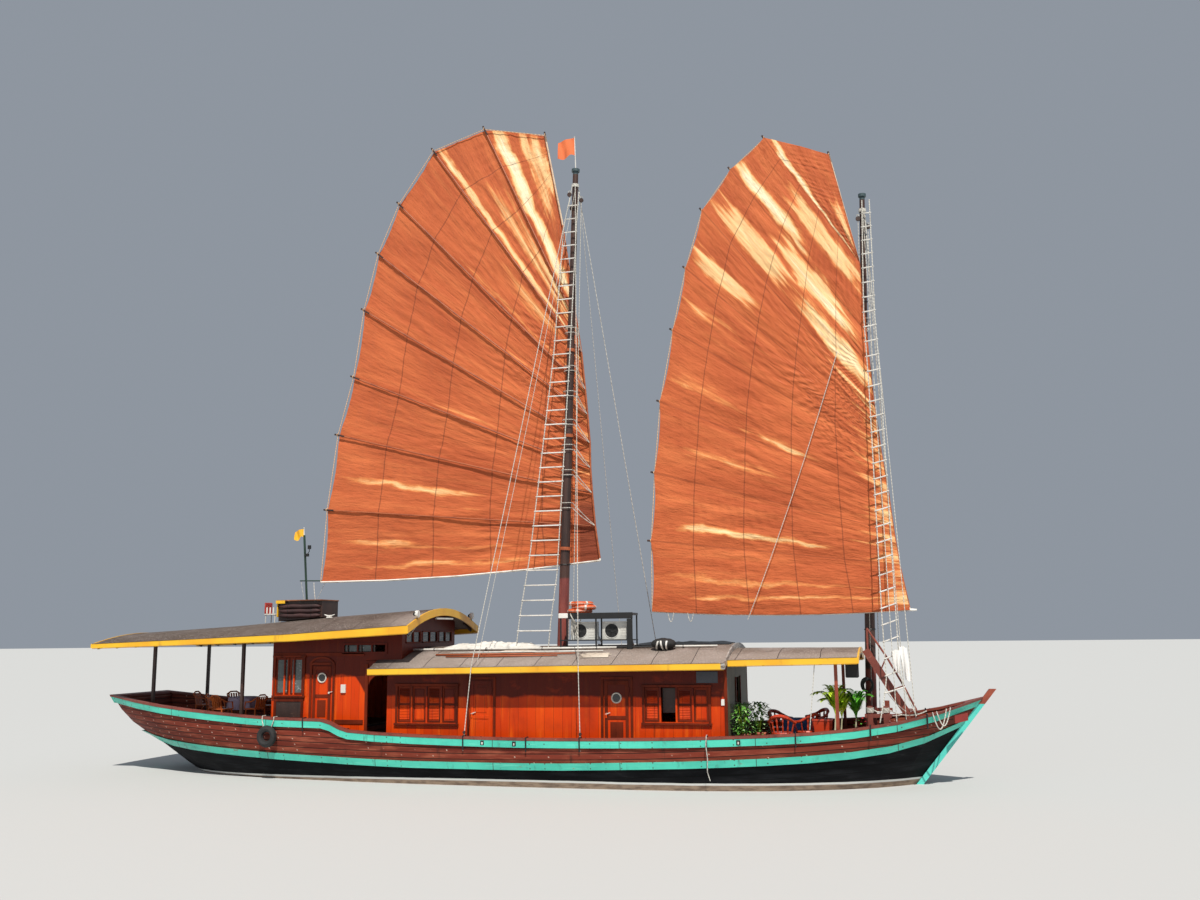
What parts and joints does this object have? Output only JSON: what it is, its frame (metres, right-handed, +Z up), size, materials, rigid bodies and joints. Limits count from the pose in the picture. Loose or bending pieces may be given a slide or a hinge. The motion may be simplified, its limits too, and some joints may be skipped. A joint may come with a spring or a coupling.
{
  "type": "chinese junk ship",
  "caption": "Wooden tour junk with a decked hull, roofed cabins and fan sails that swing on raked masts, with a rudder and screw.",
  "frame": {"origin": "on the centreline, amidships, at the waterline", "axes": "+X forward to the bow, +Y to port, +Z up"},
  "size_m": [27.8863, 6.1398, 23.2487],
  "materials": {
    "bottom_paint": "dull black bottom paint on planks",
    "topside_paint": "worn dark red-brown paint on planks",
    "trim_paint": "worn red-brown paint",
    "strake_paint": "worn turquoise gloss paint",
    "deck_wood": "weathered deck planks",
    "steel": "grey paint, some rust",
    "bronze": "dull bronze",
    "varnish": "orange-red varnished boards",
    "roof_felt": "grey-brown roofing felt, patched and stained",
    "fascia_paint": "yellow gloss paint",
    "dark_wood": "dark brown painted wood",
    "sail_cloth": "terracotta canvas, sun faded",
    "spar_wood": "stained poles",
    "rope": "off-white rope",
    "unit_shell": "white enamel casing",
    "buoy_shell": "orange shell",
    "green_paint": "dark green paint",
    "black_rubber": "worn rubber"
  },
  "bodies": {
    "hull": {"hull_bottom": "bottom_paint", "hull_topside": "topside_paint", "keel": "bottom_paint", "stem_post": "trim_paint", "upper_strake": "strake_paint", "lower_strake": "strake_paint", "cap_rail": "trim_paint", "main_deck": "deck_wood", "poop_deck": "deck_wood", "stern_tube": "steel", "house_side_starboard": "varnish", "house_side_port": "varnish", "cabin_side_starboard": "varnish", "cabin_side_port": "varnish", "house_front": "varnish", "cabin_aft": "varnish", "wheelhouse_front": "varnish", "mid_roof": "roof_felt", "mid_roof_fascia": "fascia_paint", "aft_roof": "roof_felt", "aft_roof_fascia": "fascia_paint", "fore_awning": "roof_felt", "fore_awning_fascia": "fascia_paint", "aft_awning_frame": "dark_wood", "fore_awning_frame": "dark_wood", "main_mast": "dark_wood", "fore_mast": "dark_wood", "main_stays": "rope", "fore_stays": "rope", "ac_rack": "steel", "ac_unit_1": "unit_shell", "ac_unit_2": "unit_shell", "lifebuoys": "buoy_shell", "roof_locker": "dark_wood", "signal_post": "green_paint", "gangway_posts": "trim_paint", "bitts_starboard": "trim_paint", "bitts_port": "trim_paint", "tyre_fender": "black_rubber"},
    "rudder": {"rudder": "bottom_paint"},
    "propeller": {"propeller": "bronze"},
    "main_sail_rig": {"main_sail": "sail_cloth", "main_sail_spars": "spar_wood"},
    "fore_sail_rig": {"fore_sail": "sail_cloth", "fore_sail_spars": "spar_wood"},
    "door_aft_starboard": {"door_aft_starboard": "varnish"},
    "door_aft_port": {"door_aft_port": "varnish"},
    "door_fore_starboard": {"door_fore_starboard": "varnish"},
    "door_fore_port": {"door_fore_port": "varnish"},
    "cabin_door_starboard": {"cabin_door_starboard": "varnish"},
    "cabin_door_port": {"cabin_door_port": "varnish"},
    "gangway": {"gangway": "trim_paint"}
  },
  "joints": [
    {"name": "rudder_steer", "type": "hinge", "parent": "hull", "child": "rudder", "pos_m": [-11.35, 0, -1], "axis": [0, 0, 1], "range_deg": [-35, 35]},
    {"name": "propeller_spin", "type": "hinge", "parent": "hull", "child": "propeller", "pos_m": [-10.56, 0, -1.06], "axis": [1, 0, 0], "continuous": true},
    {"name": "main_sail_swing", "type": "hinge", "parent": "hull", "child": "main_sail_rig", "pos_m": [1.06, 0, 0.985], "axis": [0.0341, 0, 0.9994], "range_deg": [-40, 40]},
    {"name": "fore_sail_swing", "type": "hinge", "parent": "hull", "child": "fore_sail_rig", "pos_m": [10.37, 0, 1.18], "axis": [0.0306, 0, 0.9995], "range_deg": [-40, 15]},
    {"name": "door_aft_starboard_hinge", "type": "hinge", "parent": "hull", "child": "door_aft_starboard", "pos_m": [-0.38, -2.0625, 2], "axis": [0, 0, 1], "range_deg": [0, 100]},
    {"name": "door_fore_starboard_hinge", "type": "hinge", "parent": "hull", "child": "door_fore_starboard", "pos_m": [3.77, -2.0625, 2], "axis": [0, 0, 1], "range_deg": [0, 100]},
    {"name": "cabin_door_starboard_hinge", "type": "hinge", "parent": "hull", "child": "cabin_door_starboard", "pos_m": [-5.63, -1.9875, 2.5], "axis": [0, 0, -1], "range_deg": [0, 95]},
    {"name": "door_aft_port_hinge", "type": "hinge", "parent": "hull", "child": "door_aft_port", "pos_m": [-0.38, 2.0625, 2], "axis": [0, 0, -1], "range_deg": [0, 100]},
    {"name": "door_fore_port_hinge", "type": "hinge", "parent": "hull", "child": "door_fore_port", "pos_m": [3.77, 2.0625, 2], "axis": [0, 0, -1], "range_deg": [0, 100]},
    {"name": "cabin_door_port_hinge", "type": "hinge", "parent": "hull", "child": "cabin_door_port", "pos_m": [-5.63, 1.9875, 2.5], "axis": [0, 0, 1], "range_deg": [0, 95]},
    {"name": "gangway_swing", "type": "hinge", "parent": "hull", "child": "gangway", "pos_m": [11.39, -0.64, 1.97], "axis": [0, 1, 0], "range_deg": [0, 86]}
  ]
}
